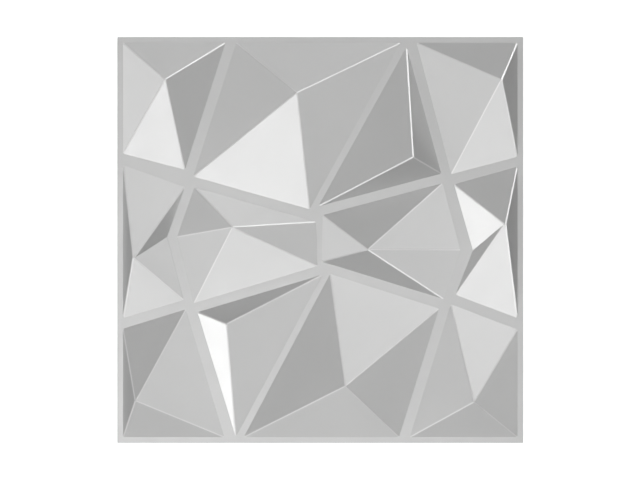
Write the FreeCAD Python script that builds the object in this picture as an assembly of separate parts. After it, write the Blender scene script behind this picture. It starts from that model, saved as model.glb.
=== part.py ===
# Relief wall tile, 500 x 500 mm: one formed sheet with twelve raised, hollow,
# many-sided pyramids standing between flat bands and a flat border.
#
# Frame: origin at the centre of the flat back, +X right and +Y up as the tile
# hangs on a wall, +Z out of the wall towards the room. Millimetres.

import FreeCAD, Part
import math
import os

# Driving dimensions, in millimetres
side = 500.0            # square tile, edge to edge
sheet = 1.0             # thickness of the formed sheet
border = 7.0            # flat margin round the relief
ridge_radius = 2.0      # rounding along the outside of every ridge
valley_radius = 2.0     # hollow rounding of a crease between two slopes
foot_radius = 1.0       # hollow rounding where a slope leaves the flat
rim_radius = 1.0        # rounding behind it, where the flat back turns into a hollow
tall_peak = 30.0        # heights of the peaks above the back of the tile
upper_peak = 27.0
middle_peak = 26.0
low_peak = 24.0

# Layout of the relief. Each pyramid: the corners of its foot, clockwise from the upper left, the
# place of its peak, and the peak's height. Places are in hundredths of the
# relief's width, from its middle, so 50 is the border's inner line.
pyramids = {
    "top left": (
        [(-50, 50), (-24, 50), (-34.3, 17.8), (-50, 21.9)], (-39.2, 40.6), low_peak),
    "top middle": (
        [(-21.3, 50), (20.4, 50), (-2.7, 7.8), (-32.2, 16.1)], (-5.9, 37.2), tall_peak),
    "upper wedge": (
        [(21.9, 49), (30.7, 16.8), (-0.5, 8.5)], (23.4, 21), upper_peak),
    "top right": (
        [(24.4, 50), (50, 50), (50, 21.1), (33.2, 16.7)], (45.7, 40.5), tall_peak),
    "left": (
        [(-50, 19), (-34.3, 13.4), (-38.8, 0.8), (-34.6, -15.2), (-50, -19.8)],
        (-47.1, -4.5), low_peak),
    "middle left": (
        [(-31.9, 13.4), (-1.1, 4.6), (-0.7, -6.6), (-32, -16), (-36.3, 0.8)],
        (-22.2, 3.2), low_peak),
    "middle right": (
        [(0.6, 6.3), (31, 14.4), (35.5, -2.5), (31.3, -15), (0.4, -5.5)],
        (12.1, -2.4), low_peak),
    "right": (
        [(33.9, 14.1), (50, 18.6), (50, -19.8), (34.3, -13.9), (38.7, -2.6)],
        (46.7, 4), middle_peak),
    "bottom left": (
        [(-50, -22.5), (-34.1, -17.6), (-24.3, -50), (-50, -50)], (-46.6, -40.6), low_peak),
    "lower wedge": (
        [(-31.1, -18.3), (0.6, -8.8), (-21.4, -50)], (-23.6, -21.3), low_peak),
    "bottom middle": (
        [(2.5, -8.6), (30.1, -17.4), (20, -50), (-19.4, -50)], (6.3, -36.9), tall_peak),
    "bottom right": (
        [(33.1, -16.3), (50, -22.7), (50, -50), (22.7, -50)], (38.9, -40.9), low_peak),
}

# Values that follow from them
relief = side - 2 * border                      # width of the relief inside the border
core_floor = -(ridge_radius + sheet)            # cores start this deep, below the back
near = 0.001                                    # a gap or a lean this small counts as none


def place(spot):
    """A place of the layout in millimetres."""
    return spot[0] * relief / 100, spot[1] * relief / 100


def core_line(start, end, peak, height):
    """Where one facet of a pyramid's core meets the core's floor, as a point and
    a direction. The core is the pyramid less the ridge radius all round."""
    run = math.dist(start, end)
    along = ((end[0] - start[0]) / run, (end[1] - start[1]) / run)
    inward = (along[1], -along[0])
    reach = (peak[0] - start[0]) * inward[0] + (peak[1] - start[1]) * inward[1]
    rise = height - ridge_radius - sheet
    slope = math.atan2(rise, reach) + math.asin(ridge_radius / math.hypot(reach, rise))
    shift = ridge_radius / math.sin(slope) - (sheet - core_floor) / math.tan(slope)
    return (start[0] + inward[0] * shift, start[1] + inward[1] * shift), along


def turn(first, second):
    """Above zero where the second line turns left from the first."""
    return first[1][0] * second[1][1] - first[1][1] * second[1][0]


def meet(first, second):
    """The point where two lines cross."""
    (px, py), (ux, uy) = first
    (qx, qy), (vx, vy) = second
    step = ((qx - px) * vy - (qy - py) * vx) / turn(first, second)
    return px + ux * step, py + uy * step


def sharp_core(lines, peak, height):
    """A sharp convex pyramid on the given floor lines."""
    floor = [FreeCAD.Vector(*meet(lines[n - 1], lines[n]), core_floor) for n in range(len(lines))]
    tip = FreeCAD.Vector(peak[0], peak[1], height - ridge_radius)
    faces = [Part.Face(Part.makePolygon(floor + floor[:1]))]
    for here, there in zip(floor, floor[1:] + floor[:1]):
        faces.append(Part.Face(Part.makePolygon([here, there, tip, here])))
    return Part.Solid(Part.Shell(faces))


def cores(foot, peak, height):
    """The cores of one pyramid: a single one, or two that overlap where the foot
    bends inward, each leaving out one of the two facets beside that bend."""
    lines = [core_line(a, b, peak, height) for a, b in zip(foot, foot[1:] + foot[:1])]
    bends = [n for n in range(len(lines)) if turn(lines[n - 1], lines[n]) > 0]
    sets = [lines[:n] + lines[n + 1:] for n in (bends[0] - 1, bends[0])] if bends else [lines]
    return [sharp_core(kept, peak, height) for kept in sets]


def slopes(foot, peak, height, radius):
    """One pyramid as a solid: its cores grown evenly, so that its ridges come out
    rounded to the radius, and a valley between two slopes rounded the other way."""
    whole, *others = [core.makeOffsetShape(radius, near) for core in cores(foot, peak, height)]
    solid = whole.fuse(others).common(room).removeSplitter()
    valleys = [edge for edge in solid.Edges if in_valley(solid, edge)]
    return solid.makeFillet(valley_radius + ridge_radius - radius, valleys) if valleys else solid


def in_valley(solid, edge):
    """Whether an edge is the crease between two slopes, from the foot to the peak."""
    sides = solid.ancestorsOfType(edge, Part.Face)
    return all(isinstance(f.Surface, Part.Plane) and abs(f.Surface.Axis.z) < 1 - near for f in sides)


def foot_edges(solid, level):
    """The edges round every foot on the flat at a level, without the tile's own."""
    return [edge for face in solid.Faces for wire in face.Wires for edge in wire.Edges
            if isinstance(face.Surface, Part.Plane) and abs(face.CenterOfMass.z - level) < near
            and wire.BoundBox.XLength < side - border]


room = Part.makeBox(side, side, 2 * tall_peak, FreeCAD.Vector(-side / 2, -side / 2, 0))
flat = Part.makeBox(side, side, sheet, FreeCAD.Vector(-side / 2, -side / 2, 0))

outside, hollows = [], []
for foot, peak, height in pyramids.values():
    foot, peak = [place(spot) for spot in foot], place(peak)
    outside.append(slopes(foot, peak, height, ridge_radius))
    hollows.append(slopes(foot, peak, height, ridge_radius - sheet))

tile = flat.fuse(outside).removeSplitter()
tile = tile.makeFillet(foot_radius, foot_edges(tile, sheet))
tile = tile.cut(Part.makeCompound(hollows))
tile = tile.makeFillet(rim_radius, foot_edges(tile, 0))

os.makedirs("parts", exist_ok=True)
tile.exportStep("parts/wall_tile.step")
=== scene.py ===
import bmesh
import bpy
import math
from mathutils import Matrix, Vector, geometry


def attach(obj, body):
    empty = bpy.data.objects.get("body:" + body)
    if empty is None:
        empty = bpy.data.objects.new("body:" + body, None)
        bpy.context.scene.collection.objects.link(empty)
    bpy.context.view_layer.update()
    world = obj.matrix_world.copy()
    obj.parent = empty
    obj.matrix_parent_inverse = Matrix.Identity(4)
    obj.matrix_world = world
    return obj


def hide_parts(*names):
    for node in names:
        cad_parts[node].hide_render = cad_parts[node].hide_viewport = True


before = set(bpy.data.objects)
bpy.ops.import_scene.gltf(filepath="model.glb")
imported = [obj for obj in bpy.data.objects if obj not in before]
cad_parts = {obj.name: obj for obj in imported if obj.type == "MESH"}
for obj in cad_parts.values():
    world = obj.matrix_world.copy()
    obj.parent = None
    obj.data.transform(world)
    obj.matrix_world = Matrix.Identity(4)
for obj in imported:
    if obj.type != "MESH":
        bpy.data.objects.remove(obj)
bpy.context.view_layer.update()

# The tile's sizes in millimetres, as in its solid
SIDE = 500.0
SHEET = 1.0
BORDER = 7.0
RIDGE = 2.0             # rounding of the ridges and the peaks
FOOT = 1.0              # hollow rounding at the foot of a slope
RIM = 1.0               # rounding behind it
TALL, UPPER, MIDDLE, LOW = 30.0, 27.0, 26.0, 24.0   # heights of the peaks

# How the mesh shows the roundings, in millimetres
LAND_LEAST = 1.5        # a ridge has a flat land, at least this wide
LAND_SHARE = 0.9        # or this share of its rounding's chord, where that is wider
NECK = 4.0              # the land narrows over this last stretch below the peak
PEAK_FLAT = 0.01        # a peak's very top is flatter than its ball by this much
SAME_SPOT = 0.0001      # points of the layout nearer than this are one

MM_PER_METRE = 1000
SAME_PLACE = 1e-7       # metres, points of the mesh nearer than this are one
UP = Vector((0, 0, 1))

# Foot corners clockwise from the upper left, peak and height of each pyramid,
# in hundredths of the relief's width from its middle
PYRAMIDS = [
    ([(-50, 50), (-24, 50), (-34.3, 17.8), (-50, 21.9)],
     (-39.2, 40.6), LOW),
    ([(-21.3, 50), (20.4, 50), (-2.7, 7.8), (-32.2, 16.1)],
     (-5.9, 37.2), TALL),
    ([(21.9, 49), (30.7, 16.8), (-0.5, 8.5)],
     (23.4, 21), UPPER),
    ([(24.4, 50), (50, 50), (50, 21.1), (33.2, 16.7)],
     (45.7, 40.5), TALL),
    ([(-50, 19), (-34.3, 13.4), (-38.8, 0.8), (-34.6, -15.2), (-50, -19.8)],
     (-47.1, -4.5), LOW),
    ([(-31.9, 13.4), (-1.1, 4.6), (-0.7, -6.6), (-32, -16), (-36.3, 0.8)],
     (-22.2, 3.2), LOW),
    ([(0.6, 6.3), (31, 14.4), (35.5, -2.5), (31.3, -15), (0.4, -5.5)],
     (12.1, -2.4), LOW),
    ([(33.9, 14.1), (50, 18.6), (50, -19.8), (34.3, -13.9), (38.7, -2.6)],
     (46.7, 4), MIDDLE),
    ([(-50, -22.5), (-34.1, -17.6), (-24.3, -50), (-50, -50)],
     (-46.6, -40.6), LOW),
    ([(-31.1, -18.3), (0.6, -8.8), (-21.4, -50)],
     (-23.6, -21.3), LOW),
    ([(2.5, -8.6), (30.1, -17.4), (20, -50), (-19.4, -50)],
     (6.3, -36.9), TALL),
    ([(33.1, -16.3), (50, -22.7), (50, -50), (22.7, -50)],
     (38.9, -40.9), LOW),
]

# The sheet's tones, each drifting from dull to pale. The ridges' lands are
# painted paler, a painted highlight along the ridges.
SHEET_DULL = (0.443, 0.443, 0.441)
SHEET_PALE = (0.457, 0.457, 0.455)
PAINTED_HIGHLIGHT_DULL = (0.55, 0.55, 0.548)
PAINTED_HIGHLIGHT_PALE = (0.58, 0.58, 0.578)
SHEET_ROUGHNESS = (0.19, 0.21)
SHEET_IOR = 1.8
NOISE_RANGE = (0.35, 0.65)  # the part of a noise's range that its values mostly fill

# Noises, each in waves a metre and its detail
DRIFT = (9.0, 2.0)          # of the tone
SMEARS = (40.0, 3.0)        # of the gloss
GRAIN = (1600.0, 1.0)       # of the skin
GRAIN_DEPTH = 0.000004      # metres

FLOOR_SIDE = 40.0       # metres
FLOOR_PAINT = 0.9       # how pale the floor looks
FLOOR_BOUNCE = 0.25     # how much light it throws back
FLOOR_GLOW = 0.35       # its own light, as a floor that is lit apart

CAMERA_PLACE = (-0.0003, 0, 8.0)    # metres
CAMERA_LENS = 365.2                 # millimetres, as is the sensor's width
CAMERA_SENSOR = 36.0
CAMERA_REACH = 100                  # metres

# Soft boxes far away, each as seen from the tile, in degrees: the direction it
# stands in, turned from the right, its height above the floor and half its
# width, then its strength
FILLS = {
    "key": (60, 55, 15, 0.75),
    "key_core": (50, 55, 10, 0.35),
    "far_fill": (85, 35, 10, 0.2),
    "left_fill": (185, 50, 15, 0.5),
    "left_low_fill": (190, 25, 20, 0.65),
    "near_fill": (260, 60, 20, 1.15),
    "right_fill": (335, 60, 10, 0.25),
}
# Small ones that show in the sheet's gloss alone
GLINTS = {
    "far_low_glint": (75, 25, 5, 0.15),
    "right_upper_glint": (15, 65, 5, 0.1),
    "right_middle_glint": (5, 45, 5, 0.1),
    "right_far_glint": (15, 40, 5, 0.1),
    "right_lower_glint": (25, 30, 5, 0.2),
    "right_low_glint": (30, 20, 5, 0.4),
    "right_near_glint": (345, 30, 5, 0.25),
    "left_middle_glint": (200, 35, 5, 0.2),
    "left_low_glint": (200, 15, 5, 0.25),
    "near_left_glint": (255, 65, 5, 0.1),
    "near_low_glint": (270, 35, 5, 0.05),
    "near_middle_glint": (270, 50, 5, 0.1),
    "near_right_glint": (285, 55, 5, 0.05),
    "overhead_glint": (240, 85, 5, 0.15),
}


def facet_normal(start, end, peak, height):
    """Normal of the facet that rises from a foot edge and touches the ball at the peak."""
    along = (end - start).normalized()
    inward = Vector((along.y, -along.x))
    reach = (peak - start).dot(inward)
    rise = height - RIDGE - SHEET
    slope = math.atan2(rise, reach) + math.asin(RIDGE / math.hypot(reach, rise))
    return Vector((-inward.x * math.sin(slope), -inward.y * math.sin(slope), math.cos(slope)))


def ridge_sides(left, right, tip, radius):
    """The two side lines of a ridge's flat land, each as a facet's normal and a point."""
    mean = (left + right).normalized()
    half = left.angle(right) / 2
    chord = 2 * RIDGE * math.sin(half)
    width = max(LAND_LEAST, LAND_SHARE * chord) - 2 * (RIDGE - radius) * math.tan(half / 2)
    middle = tip + mean * (radius / math.cos(half) - width / 2 * math.tan(half))
    across = (right - left).normalized() * width / 2
    return (left, middle - across), (right, middle + across)


def rays(foot, tip, height, radius):
    """Lines down the pyramid, clockwise: the outward normal of the facet beside it, a point,
    a direction, and whether a ridge's land follows. A valley's line ends in the foot's corner."""
    peak = tip.to_2d()
    normals = [facet_normal(a, b, peak, height) for a, b in zip(foot, foot[1:] + foot[:1])]
    lines = []
    for n, corner in enumerate(foot):
        left, right = normals[n - 1], normals[n]
        crease = left.cross(right).normalized()
        if crease.z < 0:    # a ridge
            near_side, far_side = ridge_sides(left, right, tip, radius)
            lines.append((*near_side, crease, True))
            lines.append((*far_side, crease, False))
        else:               # a valley
            middle = (left + right).normalized()
            top = tip + radius * middle
            end = Vector((corner.x, corner.y, SHEET))
            end += crease * (radius - RIDGE) / crease.z
            lines.append((middle, end, (end - top).normalized(), False))
    return lines


def on_line(point, down, z):
    """The point of a line at a height."""
    return point + down * ((z - point.z) / down.z)


def column(normal, point, down, tip, radius, level, foot_radius):
    """Points down one line of a pyramid, from close to the peak to the flat at the level."""
    lean = math.acos(normal.z)
    out = Vector((normal.x, normal.y, 0)).normalized()
    top = tip + radius * normal
    neck = on_line(point, down, top.z + down.z * NECK)
    upper = on_line(point, down, level + foot_radius * (1 - math.cos(lean)))
    flat = on_line(point, down, level) + out * foot_radius * math.tan(lean / 2)
    # Halfway along the foot's rounding, as a step from the flat
    step = upper - flat
    half = Vector((step.x, step.y, 0)) * math.sin(lean / 2) / math.sin(lean)
    half.z = step.z * (1 - math.cos(lean / 2)) / (1 - math.cos(lean))
    cap = tip + radius * (normal + UP).normalized()
    return [cap, top, neck, upper, flat + half, flat]


def flat_faces(points, rings, corners):
    """Triangles that fill the flat between the rings round the feet and the corners."""
    loops = rings + [corners]
    used = [p for loop in loops for p in loop]
    order = {p: n for n, p in enumerate(used)}
    edges = [(order[a], order[b]) for loop in loops for a, b in zip(loop, loop[1:] + loop[:1])]
    spots, _, triangles, sources, _, _ = geometry.delaunay_2d_cdt(
        [points[p].to_2d() for p in used], edges, [], 0, SAME_SPOT)
    outlines = [[points[p].to_2d() for p in ring] for ring in rings]
    faces = []
    for triangle in triangles:
        middle = sum((spots[p] for p in triangle), Vector((0, 0))) / len(triangle)
        if not any(inside(middle, outline) for outline in outlines):
            faces.append(tuple(used[sources[p][0]] for p in triangle))
    return faces


def inside(spot, outline):
    """Whether a spot lies inside a closed outline."""
    crossed = False
    for a, b in zip(outline, outline[1:] + outline[:1]):
        if (a.y > spot.y) != (b.y > spot.y):
            if spot.x < a.x + (b.x - a.x) * (spot.y - a.y) / (b.y - a.y):
                crossed = not crossed
    return crossed


def skin(level, radius, foot_radius):
    """One side of the sheet, flat at the level with the pyramids above it: its points, its
    faces, which of those are the lands of ridges, and the sheet's corners."""
    points, faces, lands, rings = [], [], set(), []
    scale = (SIDE - 2 * BORDER) / 100
    for foot, peak, height in PYRAMIDS:
        foot, peak = [Vector(c) * scale for c in foot], Vector(peak) * scale
        tip = Vector((peak.x, peak.y, height - RIDGE))
        summit = len(points)
        points.append(tip + UP * (radius - PEAK_FLAT))
        columns, land_follows = [], []
        for normal, point, down, has_land in rays(foot, tip, height, radius):
            spots = column(normal, point, down, tip, radius, level, foot_radius)
            columns.append(list(range(len(points), len(points) + len(spots))))
            points.extend(spots)
            land_follows.append(has_land)
        for here, there, has_land in zip(columns, columns[1:] + columns[:1], land_follows):
            faces.append((summit, there[0], here[0]))
            for row in range(len(here) - 1):
                if has_land and row > 0:
                    lands.add(len(faces))
                faces.append((here[row], there[row], there[row + 1], here[row + 1]))
        rings.append([indices[-1] for indices in columns])
    end = SIDE / 2
    corners = list(range(len(points), len(points) + 4))
    for x, y in ((-end, -end), (end, -end), (end, end), (-end, end)):
        points.append(Vector((x, y, level)))
    faces += flat_faces(points, rings, corners)
    return points, faces, lands, corners


def sheet_mesh():
    """The whole formed sheet: its front, its hollow back and its four edges."""
    front, faces, lands, rim = skin(SHEET, RIDGE, FOOT)
    back, back_faces, _, back_rim = skin(0.0, RIDGE - SHEET, RIM)
    shift = len(front)
    faces += [tuple(shift + p for p in reversed(face)) for face in back_faces]
    for n in range(len(rim)):
        faces.append((rim[n - 1], shift + back_rim[n - 1], shift + back_rim[n], rim[n]))
    mesh = bpy.data.meshes.new("tile_sheet")
    mesh.from_pydata([p / MM_PER_METRE for p in front + back], [], faces)
    # The ridges' lands take the second, paler material: a painted highlight along the ridges
    for polygon in mesh.polygons:
        polygon.material_index = 1 if polygon.index in lands else 0
    clean = bmesh.new()
    clean.from_mesh(mesh)
    bmesh.ops.remove_doubles(clean, verts=clean.verts, dist=SAME_PLACE)
    clean.to_mesh(mesh)
    clean.free()
    return mesh


def satin(name, dull, pale):
    """Satin off-white rigid sheet: its tone and gloss drift a little over the tile, as the
    sheet stretches in the mould, and its skin has a fine grain."""
    material = bpy.data.materials.new(name)
    material.use_nodes = True
    nodes, links = material.node_tree.nodes, material.node_tree.links
    shader = nodes["Principled BSDF"]
    shader.inputs["IOR"].default_value = SHEET_IOR
    where = nodes.new("ShaderNodeTexCoord")

    def noise(scale, detail):
        texture = nodes.new("ShaderNodeTexNoise")
        texture.inputs["Scale"].default_value = scale
        texture.inputs["Detail"].default_value = detail
        links.new(where.outputs["Object"], texture.inputs["Vector"])
        return texture.outputs["Fac"]

    tone = nodes.new("ShaderNodeValToRGB")
    for stop, share, colour in zip(tone.color_ramp.elements, NOISE_RANGE, (dull, pale)):
        stop.position = share
        stop.color = (*colour, 1)
    links.new(noise(*DRIFT), tone.inputs["Fac"])
    links.new(tone.outputs["Color"], shader.inputs["Base Color"])

    gloss = nodes.new("ShaderNodeMapRange")
    gloss.inputs["From Min"].default_value, gloss.inputs["From Max"].default_value = NOISE_RANGE
    gloss.inputs["To Min"].default_value, gloss.inputs["To Max"].default_value = SHEET_ROUGHNESS
    links.new(noise(*SMEARS), gloss.inputs["Value"])
    links.new(gloss.outputs["Result"], shader.inputs["Roughness"])

    grain = nodes.new("ShaderNodeBump")
    grain.inputs["Strength"].default_value = 1.0
    grain.inputs["Distance"].default_value = GRAIN_DEPTH
    links.new(noise(*GRAIN), grain.inputs["Height"])
    links.new(grain.outputs["Normal"], shader.inputs["Normal"])
    return material


def floor_paint():
    """White floor. The camera sees it brightly lit, and it throws little light back at the tile."""
    material = bpy.data.materials.new("floor_paint")
    material.use_nodes = True
    nodes, links = material.node_tree.nodes, material.node_tree.links
    shader = nodes["Principled BSDF"]
    shader.inputs["Roughness"].default_value = 1.0
    seen = nodes.new("ShaderNodeLightPath")
    paint = nodes.new("ShaderNodeMapRange")
    paint.inputs["To Min"].default_value = FLOOR_BOUNCE
    paint.inputs["To Max"].default_value = FLOOR_PAINT
    glow = nodes.new("ShaderNodeMapRange")
    glow.inputs["To Max"].default_value = FLOOR_GLOW
    links.new(seen.outputs["Is Camera Ray"], paint.inputs["Value"])
    links.new(seen.outputs["Is Camera Ray"], glow.inputs["Value"])
    links.new(paint.outputs["Result"], shader.inputs["Base Color"])
    shader.inputs["Emission Color"].default_value = (1, 1, 1, 1)
    links.new(glow.outputs["Result"], shader.inputs["Emission Strength"])
    return material


def studio_world():
    """A white backdrop that the camera sees and that lights nothing."""
    world = bpy.data.worlds.new("studio")
    world.use_nodes = True
    nodes, links = world.node_tree.nodes, world.node_tree.links
    backdrop = nodes["Background"]
    backdrop.inputs["Color"].default_value = (1, 1, 1, 1)
    seen = nodes.new("ShaderNodeLightPath")
    links.new(seen.outputs["Is Camera Ray"], backdrop.inputs["Strength"])
    return world


def add_lamp(name, turn, lift, half_width, strength, gloss_only):
    """A soft box far away, which may show in gloss alone."""
    lamp = bpy.data.lights.new(name, "SUN")
    lamp.energy = strength
    lamp.angle = math.radians(2 * half_width)
    holder = bpy.data.objects.new(name, lamp)
    holder.rotation_euler = (0, math.radians(90 - lift), math.radians(turn))
    holder.visible_diffuse = not gloss_only
    bpy.context.scene.collection.objects.link(holder)


piece = bpy.data.objects.new("tile_sheet", sheet_mesh())
bpy.context.scene.collection.objects.link(piece)
piece.data.materials.append(satin("satin_sheet", SHEET_DULL, SHEET_PALE))
# The paler sheet on the ridges' lands is a painted highlight
piece.data.materials.append(satin("ridge_painted_highlight", PAINTED_HIGHLIGHT_DULL, PAINTED_HIGHLIGHT_PALE))
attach(piece, "root")
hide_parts("wall_tile")

# A plain pale floor that the tile lies on
bpy.ops.mesh.primitive_plane_add(size=FLOOR_SIDE, location=(0, 0, 0))
floor = bpy.context.object
floor.name = "floor"
floor.data.materials.append(floor_paint())

for name, values in FILLS.items():
    add_lamp(name, *values, gloss_only=False)
for name, values in GLINTS.items():
    add_lamp(name, *values, gloss_only=True)
bpy.context.scene.world = studio_world()

camera = bpy.data.cameras.new("camera")
camera.lens = CAMERA_LENS
camera.sensor_width = CAMERA_SENSOR
camera.clip_end = CAMERA_REACH
eye = bpy.data.objects.new("camera", camera)
eye.location = CAMERA_PLACE
bpy.context.scene.collection.objects.link(eye)
bpy.context.scene.camera = eye
bpy.context.scene.view_settings.view_transform = "Standard"
